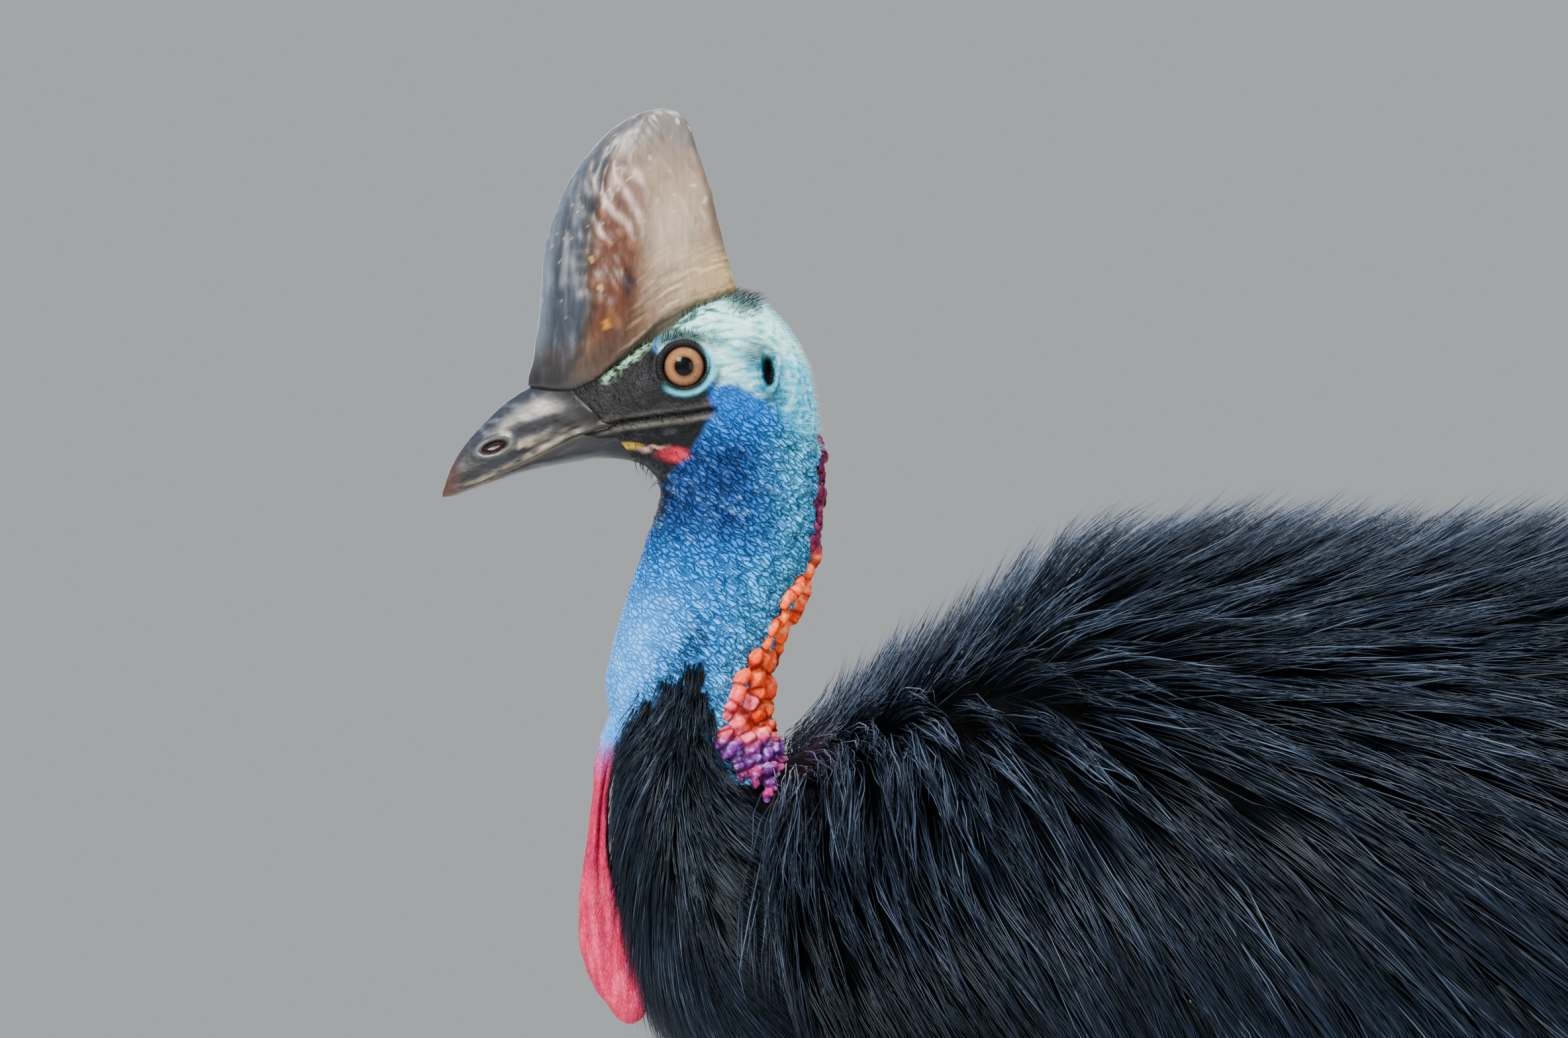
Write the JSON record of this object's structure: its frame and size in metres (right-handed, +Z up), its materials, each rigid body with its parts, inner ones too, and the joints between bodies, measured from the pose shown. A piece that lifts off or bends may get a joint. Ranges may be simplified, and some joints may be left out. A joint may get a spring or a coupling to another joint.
{
  "type": "cassowary",
  "caption": "Still, life-size cassowary on its feet: tall casque, bare blue neck with bright folds and hanging wattles, coarse drooping dark plumage and clawed toes.",
  "frame": {"origin": "on the floor, below the middle of the bird's length and width", "axes": "+Z up, the bird faces -X and its left side is towards -Y"},
  "size_m": [1.1896, 0.4654, 1.2468],
  "materials": {
    "plumage": "coarse blue-black feathers with a faint sheen",
    "bare_skin": "wrinkled bare skin, pale blue on the crown and deep blue at the throat",
    "casque_horn": "worn brown horn, grey at its front edge",
    "bill_horn": "smooth dark horn",
    "wattle_skin": "soft pink-red skin with fine wrinkles",
    "fold_skin": "lumpy orange skin, crimson above and purple below",
    "eye": "wet brown eye",
    "quill": "bare black quills",
    "leg_scales": "grey-brown scutes and small scales",
    "claw_horn": "dark polished horn"
  },
  "bodies": {
    "root": {"head": "bare_skin", "casque": "casque_horn", "bill_upper": "bill_horn", "bill_lower": "bill_horn", "eye_left": "eye", "eye_right": "eye", "neck_upper": "bare_skin", "neck_lower": "plumage", "nape_folds": "fold_skin", "wattle_left": "wattle_skin", "wattle_right": "wattle_skin", "torso": "plumage", "tail": "plumage", "wing_left": "quill", "wing_right": "quill", "thigh_left": "plumage", "thigh_right": "plumage", "shank_left": "leg_scales", "shank_right": "leg_scales", "toe_inner_left": "leg_scales", "toe_inner_right": "leg_scales", "toe_middle_left": "leg_scales", "toe_middle_right": "leg_scales", "toe_outer_left": "leg_scales", "toe_outer_right": "leg_scales", "claw_inner_left": "claw_horn", "claw_inner_right": "claw_horn", "claw_middle_left": "claw_horn", "claw_middle_right": "claw_horn", "claw_outer_left": "claw_horn", "claw_outer_right": "claw_horn"}
  },
  "joints": []
}
